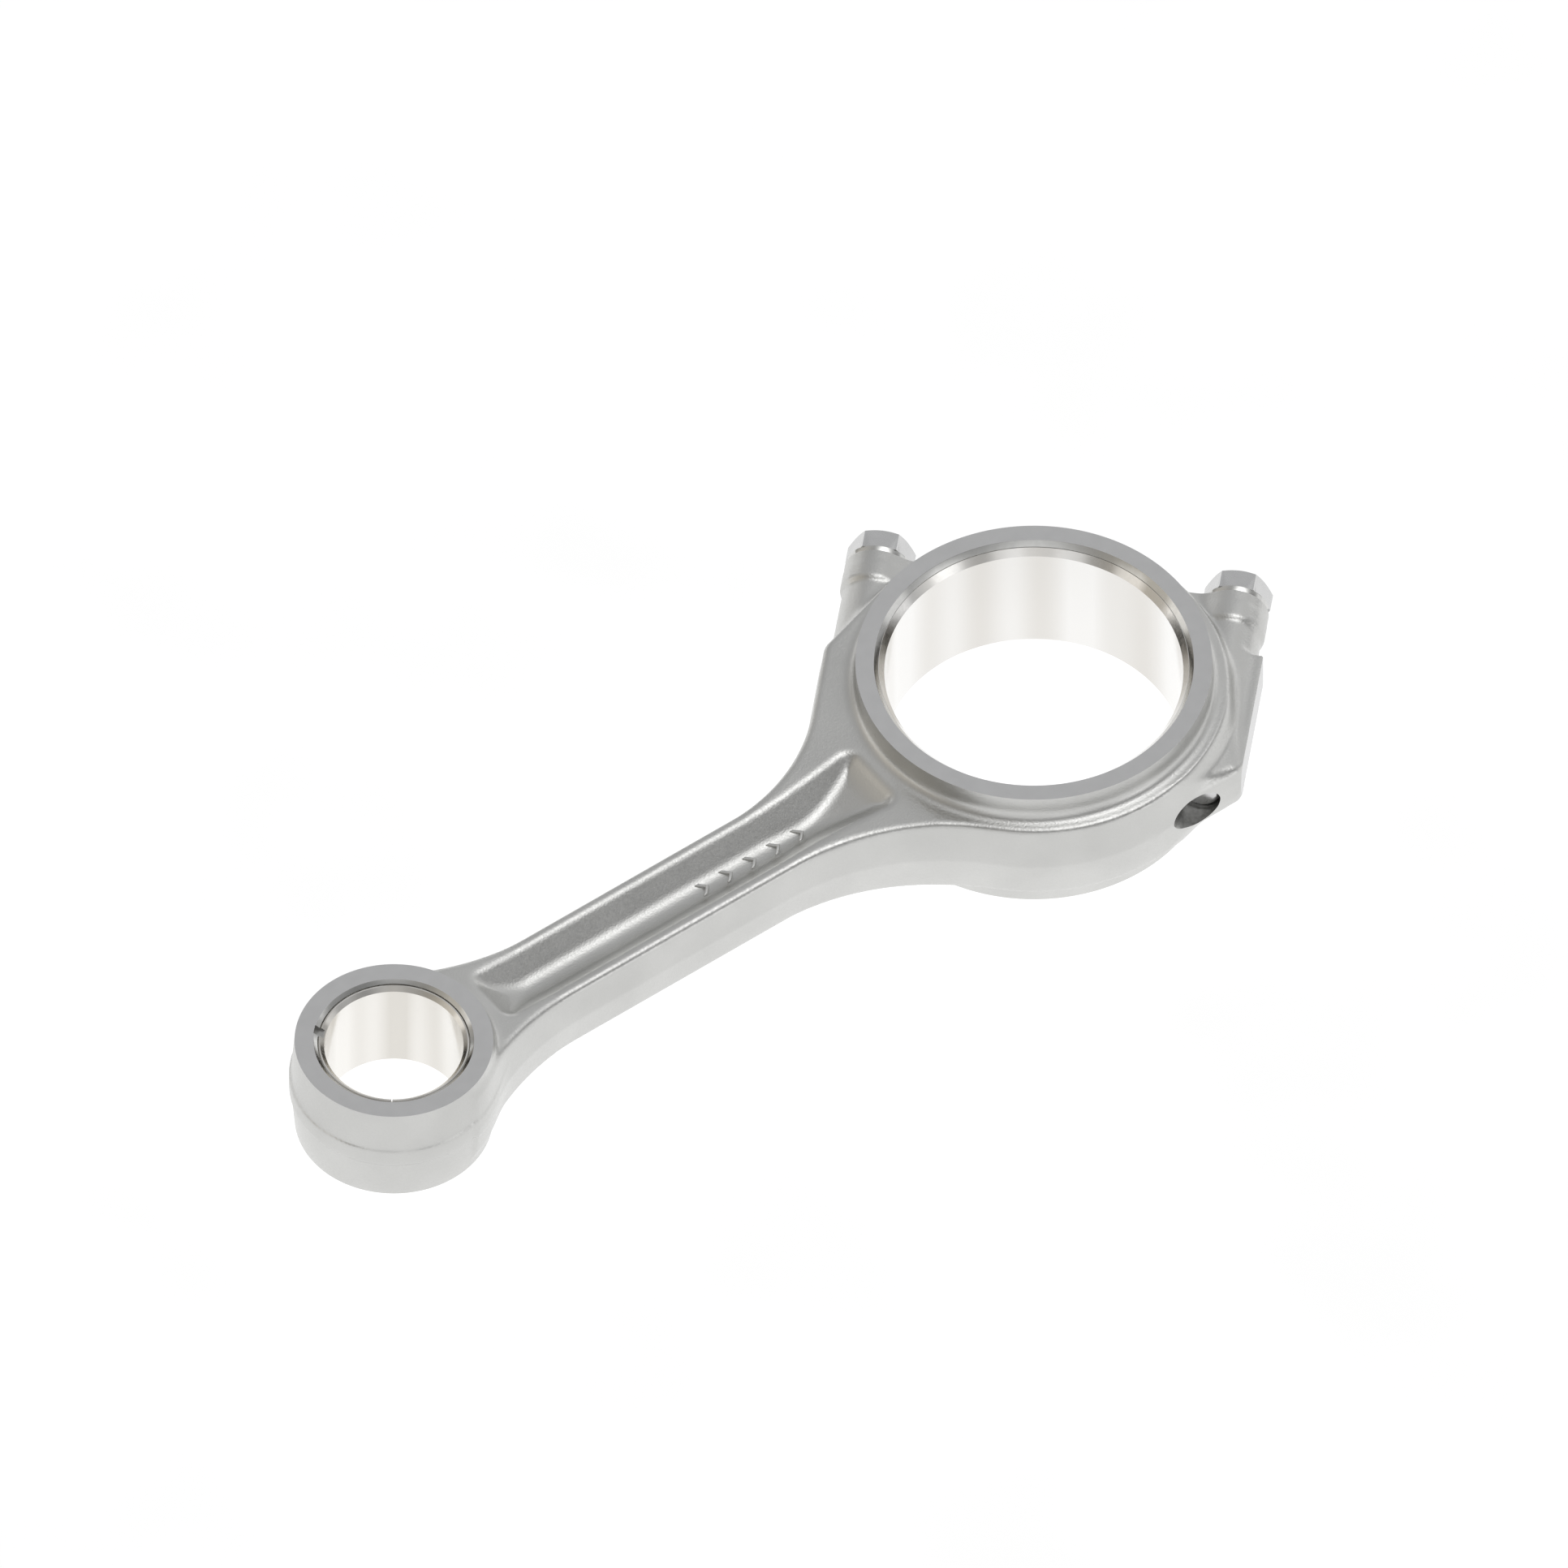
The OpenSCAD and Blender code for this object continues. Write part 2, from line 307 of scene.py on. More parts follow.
def bush_metal():
    material, tree, place = new_material("bush_fine_bored")
    along_bore = add(tree, "ShaderNodeMapping", Vector=place, Scale=BANDS_ALONG_Z)
    # Painted reflection: the paler and darker bands along the bore stand in for mirrored streaks.
    color = mottled_color(tree, along_bore, 4.0, "#D2CFC9", "#E8E6E2", detail=0.0)
    roughness = mottled_roughness(tree, place, 0.5, 0.12, 0.20)
    finish_metal(tree, color, roughness)
    return material


def bolt_steel():
    material, tree, place = new_material("bolt_steel_cold_formed")
    color = mottled_color(tree, place, 1.5, "#D0D0D0", "#D4D4D4")
    roughness = mottled_roughness(tree, place, 1.0, 0.25, 0.28)
    finish_metal(tree, color, roughness)
    return material


FORGED, GROUND, BEVEL, DRILLED, SPLIT = (
    forged_steel(), ground_steel(), bevel_steel(), drilled_steel(), split_steel())
OVERLAY, BUSH, BOLT = bearing_overlay(), bush_metal(), bolt_steel()
print("materials:", [m.name for m in (FORGED, GROUND, BEVEL, DRILLED, SPLIT, OVERLAY, BUSH, BOLT)])

# %% [markdown]
# ## The forging
# A forging has no sharp edge and no undercut: each wall leans in by a few degrees so that it
# leaves the die, and all corners are rounded. Modelling that with bevels would be slow. A
# distance field does it easily: each feature is a formula that is negative inside the metal,
# and a smooth minimum joins two of them with a fillet of a chosen radius.
#
# Outlines in plan are belts round circles (x, y, radius): a negative radius is a hollow curve.


# %% Outlines as belts round circles
def heading(a, b):
    """The direction of the straight stretch of belt from circle a to circle b."""
    dx, dy = b[0] - a[0], b[1] - a[1]
    return atan2(dy, dx) + asin(max(-1, min(1, (a[2] - b[2]) / hypot(dx, dy))))


def belt(circles, step=radians(2)):
    """The points of a belt that runs round all circles in turn."""
    points = []
    for i, (x, y, r) in enumerate(circles):
        start = heading(circles[i - 1], circles[i])
        end = heading(circles[i], circles[(i + 1) % len(circles)])
        way = 1 if r > 0 else -1
        turn = way * ((way * (end - start)) % (2 * pi))
        steps = max(1, int(abs(turn) / step) + 1)
        for k in range(steps + 1):
            angle = start + turn * k / steps
            points.append((x + r * sin(angle), y - r * cos(angle)))
    return np.array(points)


def tangent_reach(end_r, flare_r, side):
    """How far along the beam a flare's centre is from the round end that it meets."""
    return sqrt((end_r + flare_r) ** 2 - (side + flare_r) ** 2) + 0.2


BEAM_SIDE = 12.25         # half the beam's width
BAND_R = 26.3             # the flash band round the small end
SMALL_FLARE, FREE_FLARE, SHOULDER_FLARE = 66.0, 64.0, 48.0      # radii of the hollow flares
SHOULDER_ROUND, FOOT_ROUND = 7.0, 3.0
small_reach = tangent_reach(BAND_R, SMALL_FLARE, BEAM_SIDE)
free_reach = tangent_reach(BODY_R, FREE_FLARE, BEAM_SIDE)
shoulder_x = BEAM_SIDE + SHOULDER_FLARE - (SHOULDER + SHOULDER_FLARE) * sqrt(2)
shoulder_corner = from_joint(SHOULDER_ROUND - SHOULDER, 3.0)
body_outline = belt([
    (-CENTRES, 0, BAND_R),
    (small_reach - CENTRES, -BEAM_SIDE - SMALL_FLARE, -SMALL_FLARE),
    (-free_reach, -BEAM_SIDE - FREE_FLARE, -FREE_FLARE),
    (0, 0, BODY_R),
    (*shoulder_corner, SHOULDER_ROUND),
    (shoulder_x, BEAM_SIDE + SHOULDER_FLARE, -SHOULDER_FLARE),
    (small_reach - CENTRES, BEAM_SIDE + SMALL_FLARE, -SMALL_FLARE)])
foot_x = (FLAT_SIDE - FOOT_ROUND) * sqrt(2) + FOOT_ROUND - BODY_R
foot_outline = belt([(0, 0, BODY_R - 0.2), (foot_x, FOOT_ROUND - BODY_R, FOOT_ROUND)])

POCKET_SIDE, POCKET_FLARE = 8.4, 160.0      # half its width, and the hollow of its sides
POCKET_SMALL_END, POCKET_WAIST, POCKET_BIG_END = -166.8, -80.0, -53.2
pocket_outline = belt([
    (POCKET_SMALL_END, -4.2, 4.2), (POCKET_WAIST, -POCKET_SIDE - POCKET_FLARE, -POCKET_FLARE),
    (POCKET_BIG_END, -6.5, 3.7), (POCKET_BIG_END, 6.5, 3.7),
    (POCKET_WAIST, POCKET_SIDE + POCKET_FLARE, -POCKET_FLARE), (POCKET_SMALL_END, 4.2, 4.2)])
print("outline points:", len(body_outline), len(foot_outline), len(pocket_outline))

# %% [markdown]
# The field is sampled on a grid of half a millimetre, fine enough for the smallest fillets.


# %% The grid and the distance to an outline
CELL = 0.5
grid_low = np.array([-CENTRES - 29.0, -54.0, -21.5])
grid_size = np.array([298.0, 123.0, 43.0])
counts = (grid_size / CELL).astype(int) + 1
xs, ys, zs = (grid_low[i] + CELL * np.arange(counts[i]) for i in range(3))
X, Y = (a.astype(np.float32) for a in np.meshgrid(xs, ys, indexing="ij"))
Z = np.abs(zs).astype(np.float32)[None, None, :]


def outline_distance(points):
    """Distance in plan to a closed outline, negative inside it."""
    nearest = np.full(X.shape, 1e9, np.float32)
    inside = np.zeros(X.shape, bool)
    for (ax, ay), (bx, by) in zip(points, np.roll(points, -1, axis=0)):
        dx, dy = bx - ax, by - ay
        if dx * dx + dy * dy < 1e-12:
            continue
        share = np.clip(((X - ax) * dx + (Y - ay) * dy) / (dx * dx + dy * dy), 0, 1)
        nearest = np.minimum(nearest, (X - ax - share * dx) ** 2 + (Y - ay - share * dy) ** 2)
        if ay != by:
            inside ^= ((ay > Y) != (by > Y)) & (X < dx * (Y - ay) / dy + ax)
    return np.where(inside, -1, 1) * np.sqrt(nearest)


def join(a, b, fillet):
    """Union of two fields, with a fillet in the hollow corner between them."""
    width = 1.17 * fillet
    step = np.maximum(width - np.abs(a - b), 0)
    return np.minimum(a, b) - step * step / (4 * width)


def both(a, b, rounding):
    """What is inside both fields, with its outer edge rounded."""
    return -join(-a, -b, rounding)


FALL, FALL_BAND = 0.16, 3.2     # how a deck falls away over the last 3.2 mm to its edge


def drafted(plan, limit, rounding):
    """A plan outline as a solid with leaning walls, whose deck falls away near its edge."""
    wall = (plan[:, :, None] + Z * DRAFT) / sqrt(1 + DRAFT ** 2)
    fall = FALL * np.clip(plan + FALL_BAND, 0, FALL_BAND + 0.2)[:, :, None] ** 2
    return both(wall, Z - limit + fall, rounding)


# %% [markdown]
# The body is the beam with both flares and the round of the big end. It is 20 mm thick along
# the beam and rises to 24 mm beside the big end, and steps down to a foot at the right.


# %% Body, thrust ring and small end
DECK_X, DECK_Z = [-177, -156, -84, -46.5], [11.0, 9.9, 9.9, 12.0]
STEP_R, STEP_WIDTH, STEP_DEPTH = 48.6, 3.2, 5.4     # where the deck steps down to the foot
BODY_START = 8.0          # the body begins this far from the small end's centre
BOSS_R, BOSS_FROM, BOSS_DRAFT = 25.85, 2.6, 0.075   # the small end above its flash band
BAND_HALF = 2.8
RAW = 0.8                 # metal left on for machining


def deck_height():
    return np.interp(X, DECK_X, DECK_Z)


def body_field():
    top = deck_height()
    step = np.clip((np.hypot(X, Y) - STEP_R) / STEP_WIDTH, 0, 1) * np.clip(X / 8, 0, 1)
    top -= STEP_DEPTH * step * step * (3 - 2 * step)
    plan = np.minimum(outline_distance(body_outline), outline_distance(foot_outline))
    solid = drafted(plan, top.astype(np.float32)[:, :, None], 0.7)
    return np.maximum(solid, BODY_START - CENTRES - X[:, :, None])


def thrust_ring_field():
    wall = np.hypot(X, Y)[:, :, None] - THRUST_R
    return np.maximum(wall, Z - BIG_HALF - RAW)


def small_end_field():
    out = np.hypot(X + CENTRES, Y)[:, :, None]
    boss = np.maximum(out - BOSS_R + (Z - BOSS_FROM) * BOSS_DRAFT, Z - SMALL_HALF - RAW)
    band = both(out - BAND_R, Z - BAND_HALF, 0.5)
    return np.minimum(boss, band)


# %% [markdown]
# Each bolt runs in a rib of 8 mm radius that ends in a thicker pad under the bolt's head.
# Webs tie the pads to the big end. A flat beside the right rib is used to clamp the rod. The
# numbers that end a call of join or both are fillets and roundings.


# %% Bolt ribs
RIB_R, RIB_FROM, RIB_TO = 8.0, -25, 36      # its two ends are measured along the bolt
PAD_R, PAD_FROM, RAW_SEAT = 8.5, 31.4, 1.5
WEB_OUT, WEB_HALF, WEB_TOP = 37, 9, 6.2
FLAT_FROM, FLAT_MIDDLE, FLAT_HALF, FLAT_TOP = 42, 3, 19, 5.6


def rib_field(side):
    """A bolt's rib with its pad and web. The right one has the clamping flat too."""
    across = side * (X - Y)[:, :, None] * sqrt(0.5)
    along = (X + Y)[:, :, None] * sqrt(0.5)
    out = np.sqrt((across - BOLT_OUT) ** 2 + Z * Z)
    rib = both(out - RIB_R + (along - 6) * 0.008, along - RIB_TO, 1.0)
    rib = both(rib, RIB_FROM - along, 1.5)
    pad = both(out - PAD_R, along - SEAT - RAW_SEAT, 0.5)
    pad = both(pad, PAD_FROM - along, 0.9)
    web_sides = np.maximum(np.abs(across - WEB_OUT) - WEB_HALF, -along)
    web_top = np.maximum(along - SEAT - RAW_SEAT, Z - WEB_TOP + (along - 20) * 0.03)
    rib = join(join(rib, pad, 1.2), both(web_sides, web_top, 1.2), 2.2)
    if side < 0:
        return rib
    flat_sides = np.maximum(across - FLAT_SIDE - 0.6, FLAT_FROM - across)
    flat_ends = np.maximum(np.abs(along - FLAT_MIDDLE) - FLAT_HALF, Z - FLAT_TOP)
    return join(rib, both(flat_sides, flat_ends, 0.9), 1.6)


# %% [markdown]
# The beam is an I in section, so that it is light and stiff. Its two pockets have walls at
# about 40 degrees, and a floor that rises at both ends.


# %% Pocket
POCKET_SLOPE, POCKET_FLOOR = 0.86, 4.6      # the floor's height above the middle of the beam


def pocket_field():
    big_end_rise = 4.4 * np.clip((X + 72) / 20, 0, 1) ** 1.6
    small_end_rise = 5.5 * np.clip((-157 - X) / 14, 0, 1) ** 2
    floor_height = POCKET_FLOOR + (big_end_rise + small_end_rise)
    floor_height = floor_height.astype(np.float32)[:, :, None]
    deck = deck_height().astype(np.float32)[:, :, None]
    wall = outline_distance(pocket_outline)[:, :, None] * POCKET_SLOPE + (deck - Z)
    return both(wall / hypot(1, POCKET_SLOPE), floor_height - Z, 1.3)


# %% Grow the forging
RIB_INSET = 1.3           # the ribs stay this far inside the big end's lower wall


def forging_field():
    field = body_field()
    lower_wall = RIB_INSET - Y[:, :, None] - BODY_R + Z * DRAFT
    for side in (1, -1):
        field = join(field, both(rib_field(side), lower_wall, 1.2), 2.4)
    field = both(field, -pocket_field(), 0.8)
    field = join(field, thrust_ring_field(), 3.0)
    field = join(field, small_end_field(), 2.6)
    return np.maximum(field, 0.1 - BODY_R - Y[:, :, None])      # keeps fillets off the foot


field = np.clip(forging_field(), -3, 3).astype(np.float32)
print("field of", field.shape, "samples")

# %% [markdown]
# OpenVDB, which comes with Blender, turns the field into a smooth skin of four-sided faces.


# %% From field to mesh
def mesh_object(name, points, faces, material):
    """Points are in millimetres, and the object's mesh is in metres."""
    mesh = bpy.data.meshes.new(name)
    mesh.from_pydata((np.asarray(points, float) * MM).tolist(), [], [list(f) for f in faces])
    mesh.validate()
    mesh.materials.append(material)
    piece = bpy.data.objects.new(name, mesh)
    bpy.context.collection.objects.link(piece)
    return piece


grid = openvdb.FloatGrid(3.0)
grid.copyFromArray(field)
vdb_points, vdb_quads = grid.convertToQuads(0.0)
skin_points = vdb_points * CELL + grid_low
forging = mesh_object("forging", skin_points, vdb_quads, FORGED)


def make_outward(piece):
    """Turns all faces outwards, which booleans rely on."""
    work = bmesh.new()
    work.from_mesh(piece.data)
    bmesh.ops.recalc_face_normals(work, faces=work.faces)
    if work.calc_volume(signed=True) < 0:
        bmesh.ops.reverse_faces(work, faces=work.faces)
    work.to_mesh(piece.data)
    volume = work.calc_volume() / MM ** 3
    work.free()
    return volume


print(f"forging: {len(vdb_quads)} faces, {make_outward(forging) / 1000:.1f} cm3")

# %% [markdown]
# ## Machining
# Each cut is a boolean with a cutter whose material becomes the finish of the new face. Flats
# could also be pushed into the mesh by hand, but a boolean leaves the crisp edge that a mill
# leaves. A round cutter is turned from a profile, and the others are boxes.


# %% Round cutters and blocks
def lathe(name, profile, material, segments=192):
    """Turns a closed profile of (radius, height) points about the Z axis."""
    points, faces, n = [], [], len(profile)
    for i in range(segments):
        angle = 2 * pi * i / segments
        points += [(r * cos(angle), r * sin(angle), z) for r, z in profile]
    for i in range(segments):
        j = (i + 1) % segments
        for k in range(n):
            m = (k + 1) % n
            faces.append((i * n + k, j * n + k, j * n + m, i * n + m))
    piece = mesh_object(name, points, faces, material)
    weld(piece)
    return piece


def weld(piece):
    """Joins the points of a lathe that meet on its axis."""
    work = bmesh.new()
    work.from_mesh(piece.data)
    bmesh.ops.remove_doubles(work, verts=work.verts, dist=1e-7)
    bmesh.ops.dissolve_degenerate(work, edges=work.edges, dist=1e-7)
    work.to_mesh(piece.data)
    work.free()
    make_outward(piece)


def block(name, low, high, material):
    """A box between two corners."""
    corners = [(x, y, z) for x in (low[0], high[0]) for y in (low[1], high[1])
               for z in (low[2], high[2])]
    faces = [(0, 1, 3, 2), (4, 6, 7, 5), (0, 4, 5, 1), (2, 3, 7, 6), (0, 2, 6, 4), (1, 5, 7, 3)]
    piece = mesh_object(name, corners, faces, material)
    make_outward(piece)
    return piece


# %% Moving and cutting
def moved(piece, matrix):
    """Moves a piece's mesh, so that the piece itself stays at the origin."""
    piece.data.transform(matrix)
    return piece


def cut(target, cutter, operation="DIFFERENCE", keep=False):
    """A boolean that gives new faces the cutter's material and uses the cutter up."""
    modifier = target.modifiers.new("cut", "BOOLEAN")
    modifier.object, modifier.operation, modifier.solver = cutter, operation, "MANIFOLD"
    modifier.material_mode = "TRANSFER"
    done = bpy.data.meshes.new_from_object(target.evaluated_get(
        bpy.context.evaluated_depsgraph_get()))
    target.modifiers.clear()
    old, target.data = target.data, done
    bpy.data.meshes.remove(old)
    if not keep:
        bpy.data.meshes.remove(cutter.data)


def shift_mm(x, y, z):
    return Matrix.Translation(Vector((x, y, z)) * MM)


# Axes of the joint: X across, Y along the bolts. A bolt's own Z axis becomes Y here.
JOINT = Matrix(((ACROSS[0], ALONG[0], 0, 0), (ACROSS[1], ALONG[1], 0, 0),
                (0, 0, 1, 0), (0, 0, 0, 1)))


def bolt_place(side):
    """Puts a piece that stands on Z on a bolt's axis, with its height along the bolt."""
    up_along = Matrix(((1, 0, 0, 0), (0, 0, 1, 0), (0, -1, 0, 0), (0, 0, 0, 1)))
    return JOINT @ shift_mm(side * BOLT_OUT, 0, 0) @ up_along


# %% Cutters for the bores and the stake
EDGE_BREAK = 0.12         # sharp edges of the bores are broken this much


def bore_cutter(name, r, half, bevel, slope, material, bevel_material):
    """A bore with the same bevel at both mouths, and a fine broken edge."""
    mouth, edge = r + bevel, EDGE_BREAK
    low = half - bevel * slope
    profile = [(0, -half - 2), (mouth + edge, -half - 2), (mouth + edge, -half),
               (mouth, -half + edge), (r, -low), (r, low), (mouth, half - edge),
               (mouth + edge, half), (mouth + edge, half + 2), (0, half + 2)]
    cutter = lathe(name, profile, material)
    cutter.data.materials.append(bevel_material)
    for face in cutter.data.polygons:
        if abs(face.center.z) > low * MM:
            face.material_index = 1
    return cutter


def stake_cutter(reach):
    """The notch where the bush is staked, with its length out from the eye's centre."""
    notch = block("stake", (16, -1.3, 13.4), (reach, 1.3, 20), DRILLED)
    return moved(notch, Matrix.Rotation(radians(132.8), 4, "Z"))


# %% Machine the faces and bores
FAR = 400.0               # past the edge of everything
AT_EYE = shift_mm(-CENTRES, 0, 0)
cut(forging, block("thrust_width", (-FAR, -FAR, -BIG_HALF), (FAR, FAR, BIG_HALF), GROUND),
    "INTERSECT")
for way in (1, -1):
    low, high = sorted((way * SMALL_HALF, way * 30))
    cut(forging, block("small_face", (-CENTRES - 40, -40, low), (-CENTRES + 28, 40, high),
                       GROUND))
cut(forging, bore_cutter("housing", HOUSING_R, BIG_HALF, MOUTH_R - HOUSING_R, MOUTH_SLOPE,
                         DRILLED, BEVEL))
cut(forging, moved(bore_cutter("eye", EYE_R, SMALL_HALF, 0.8, 1.0, DRILLED, BEVEL), AT_EYE))
cut(forging, moved(stake_cutter(20.3), AT_EYE))

# %% Machine the bolt seats, bolt holes and flat
HOLE_R = 5.12             # a little wider than the bolt
SEAT_R, ABOVE = 11, 12    # a seat's cutter: its radius, and how far it reaches above the seat
seat_profile = [(0, SEAT), (SEAT_R, SEAT), (SEAT_R, SEAT + ABOVE), (0, SEAT + ABOVE)]
for side, hole_end in ((1, -60), (-1, -23)):      # the hole beside the beam is blind
    on_bolt = bolt_place(side)
    cut(forging, moved(lathe("seat", seat_profile, GROUND, 96), on_bolt))
    web_from, web_to = sorted((-14 * side, 2 * side))
    cut(forging, moved(block("web_top", (web_from, -12, SEAT), (web_to, 12, SEAT + ABOVE),
                             GROUND), on_bolt))
    hole = [(0, hole_end), (HOLE_R, hole_end), (HOLE_R, SEAT - 0.4), (HOLE_R + 0.48, SEAT + 0.1),
            (HOLE_R + 0.48, SEAT + 6), (0, SEAT + 6)]
    cut(forging, moved(lathe("bolt_hole", hole, DRILLED, 96), on_bolt))
cut(forging, moved(block("flat", (FLAT_SIDE, -18, -8), (70, 24, 8), GROUND), JOINT))
print(f"machined forging: {len(forging.data.polygons)} faces")

# %% [markdown]
# ## The split
# The cap was part of the same forging until the big end was broken open along a plane at 45
# degrees. So the rod and the cap are two halves of one mesh here too. Two separate models
# could never match so well.


# %% Split off the cap
def cap_half(name, material):
    """A block that holds all that is on the cap's side of the joint."""
    return moved(block(name, (-150, 0, -50), (150, 150, 50), material), JOINT)


cap = forging.copy()
cap.data = forging.data.copy()
cap.name = cap.data.name = "big_end_cap"
bpy.context.collection.objects.link(cap)
rod = forging
rod.name = rod.data.name = "rod_forging"
cap_side = cap_half("cap_side", SPLIT)
cut(rod, cap_side, "DIFFERENCE", keep=True)
cut(cap, cap_side, "INTERSECT")
print("rod and cap:", len(rod.data.polygons), "and", len(cap.data.polygons), "faces")

# %% [markdown]
# Smooth shading has to run on across the joint and up to each cut. Blender would average the
# normals of the faces at each point, and the long thin faces beside a cut would spoil that. The
# field knows better: the direction in which it rises is the normal of the true surface.


# %% Normals from the field
SHARP = cos(radians(20))  # machined faces that turn more than this meet in a crisp edge


def read(items, attribute, kind, width=1):
    """One attribute of all items of a mesh, as an array."""
    values = np.zeros(len(items) * width, kind)
    items.foreach_get(attribute, values)
    return values.reshape(-1, width) if width > 1 else values


def sample(points):
    """The field at any points, between its grid samples."""
    at = (points - grid_low) / CELL
    base = np.clip(np.floor(at).astype(int), 0, np.array(field.shape) - 2)
    share = at - base
    value = np.zeros(len(points))
    for corner in np.ndindex(2, 2, 2):
        weight = np.prod(np.where(corner, share, 1 - share), axis=1)
        index = base + corner
        value += weight * field[index[:, 0], index[:, 1], index[:, 2]]
    return value


def field_normals(points):
    """The direction in which the field rises at each point."""
    steps = np.eye(3) * CELL
    slope = np.stack([sample(points + step) - sample(points - step) for step in steps], axis=1)
    return slope / np.maximum(np.linalg.norm(slope, axis=1, keepdims=True), 1e-9)


def sharp_edges(mesh, loop_face, slots, forged):
    """Edges where two finishes meet, or where machined faces meet at an angle."""
    normals = read(mesh.polygons, "normal", float, 3)
    edges = read(mesh.loops, "edge_index", np.int32)
    order = np.argsort(edges, kind="stable")
    every = np.arange(len(mesh.edges))
    first = loop_face[order[np.searchsorted(edges[order], every)]]
    second = loop_face[order[np.searchsorted(edges[order], every, "right") - 1]]
    turn = np.einsum("ij,ij->i", normals[first], normals[second])
    return (slots[first] != slots[second]) | (~forged[first] & (turn < SHARP))


def shade_from_field(piece):
    """Smooth forged faces with the field's own normals, and crisp edges round the cuts."""
    mesh = piece.data
    slots = read(mesh.polygons, "material_index", np.int32)
    forged = np.array([m.name == FORGED.name for m in mesh.materials])[slots]
    loop_face = np.repeat(np.arange(len(slots)), read(mesh.polygons, "loop_total", np.int32))
    sharp = sharp_edges(mesh, loop_face, slots, forged)
    mesh.polygons.foreach_set("use_smooth", np.ones(len(slots), bool))
    mesh.edges.foreach_set("use_edge_sharp", sharp)
    normals = field_normals(read(mesh.vertices, "co", float, 3) / MM)
    normals = normals[read(mesh.loops, "vertex_index", np.int32)]
    mesh.normals_split_custom_set(np.where(forged[loop_face][:, None], normals, 0.0).tolist())
    mesh.update()
    print(piece.name, int(sharp.sum()), "sharp edges")


shade_from_field(rod)
shade_from_field(cap)

# %% Attach rod and cap
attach(rod, "rod_assembly")
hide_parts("rod")
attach(cap, "cap_assembly")
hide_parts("cap")

# %% [markdown]
# ## Direction mark
# Arrowheads stand up from the pocket floor and show which way round the rod is fitted. They
# are forged with it, so they share its finish. Each is a small prism with bevelled edges, as
# the grid of the field is too coarse for strokes of one millimetre.


# %% Direction mark
MARKS, FIRST_TIP, MARK_PITCH = 5, -101.5, 7.4
MARK_FOOT, MARK_TOP, MARK_SOFT = 3.4, 5.35, 0.18


def chevron(tip_x, arm=2.0, stroke=1.1):
    """One arrowhead that points along +X, with softened edges."""
    outline = [(0, 0), (-arm, arm), (-arm - stroke, arm), (-stroke, 0), (-arm - stroke, -arm),
               (-arm, -arm)]
    points = [(tip_x + x, y, z) for z in (MARK_FOOT, MARK_TOP) for x, y in outline]
    faces = [(0, 1, 2, 3), (0, 3, 4, 5), (9, 8, 7, 6), (11, 10, 9, 6)]
    faces += [(i, (i + 1) % 6, 6 + (i + 1) % 6, 6 + i) for i in range(6)]
    piece = mesh_object("direction_mark", points, faces, FORGED)
    make_outward(piece)
    soften = piece.modifiers.new("soften", "BEVEL")
    soften.width, soften.segments, soften.limit_method = MARK_SOFT * MM, 3, "ANGLE"
    piece.data = bpy.data.meshes.new_from_object(piece.evaluated_get(
        bpy.context.evaluated_depsgraph_get()))
    piece.modifiers.clear()
    piece.data.polygons.foreach_set("use_smooth", np.ones(len(piece.data.polygons), bool))
    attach(piece, "rod_assembly")


for number in range(MARKS):
    chevron(FIRST_TIP + MARK_PITCH * number)
print(MARKS, "arrowheads")

# %% [markdown]
# ## Bolts
# Each is an M10 bolt with a collar that spreads its load, a waist that lets it stretch and a
# rounded tip. A thread could be swept along a helix, but its ends would need cleaning up. Here
# the shank is one skin, and the radius of each of its points depends on how far round and how
# far up it is, which gives a true helix that fades out by itself.

# %% Shank of a bolt
THREAD_R, THREAD_DEPTH, PITCH = 4.98, 0.85, 1.5
THREAD_END = 4.0          # the thread stops here, above the joint
WAIST_R, WAIST_TOP = 4.4, SEAT - 3
TIP_R, END_ROUND = 3.3, 1.6     # the flat of the tip and the round beside it
ROUND_STEPS = 48          # points of the shank in each ring


def shank_radius(angle, height):
    """Radius of the bolt below its head, at one angle and height."""
    if height > WAIST_TOP:
        return THREAD_R
    if height > THREAD_END:
        return WAIST_R
    turn = (height / PITCH - angle / (2 * pi)) % 1.0
    crest = 1 - abs(2 * turn - 1)
    groove = np.clip((crest - 0.12) / 0.72, 0, 1) * THREAD_DEPTH
    groove *= np.clip((THREAD_END - height) / 1.2, 0, 1)
    rise = min(height - TIP, END_ROUND)
    return min(THREAD_R - groove, TIP_R + sqrt(rise * (2 * END_ROUND - rise)))


def shank(name):
    """The bolt below its head, standing on Z, as rings of points joined by faces."""
    heights = list(np.arange(TIP, THREAD_END, 0.125))
    heights += [THREAD_END, THREAD_END + 0.5, WAIST_TOP - 0.5, WAIST_TOP + 0.1, SEAT + 0.5]
    n, points, faces = ROUND_STEPS, [], []
    for height in heights:
        for i in range(n):
            angle = 2 * pi * i / n
            r = shank_radius(angle, height)
            points.append((r * cos(angle), r * sin(angle), height))
    for k in range(len(heights) - 1):
        for i in range(n):
            j = (i + 1) % n
            faces.append((k * n + i, k * n + j, (k + 1) * n + j, (k + 1) * n + i))
    last = (len(heights) - 1) * n
    faces += [tuple(range(n))[::-1], tuple(range(last, last + n))]
    return mesh_object(name, points, faces, BOLT)


# %% [markdown]
# The head is a hexagon that is turned on its far end, so each of its corners has a chamfer.
# Cutting a prism with a cone gives the curved edges of a real head.


# %% Head and collar of a bolt
COLLAR_R, COLLAR, HEAD = 8.2, 1.75, 7.6
ACROSS_FLATS, CHAMFER = 14.9, tan(radians(30))
CONE = 20                 # how far the cone that turns the chamfer reaches past the head


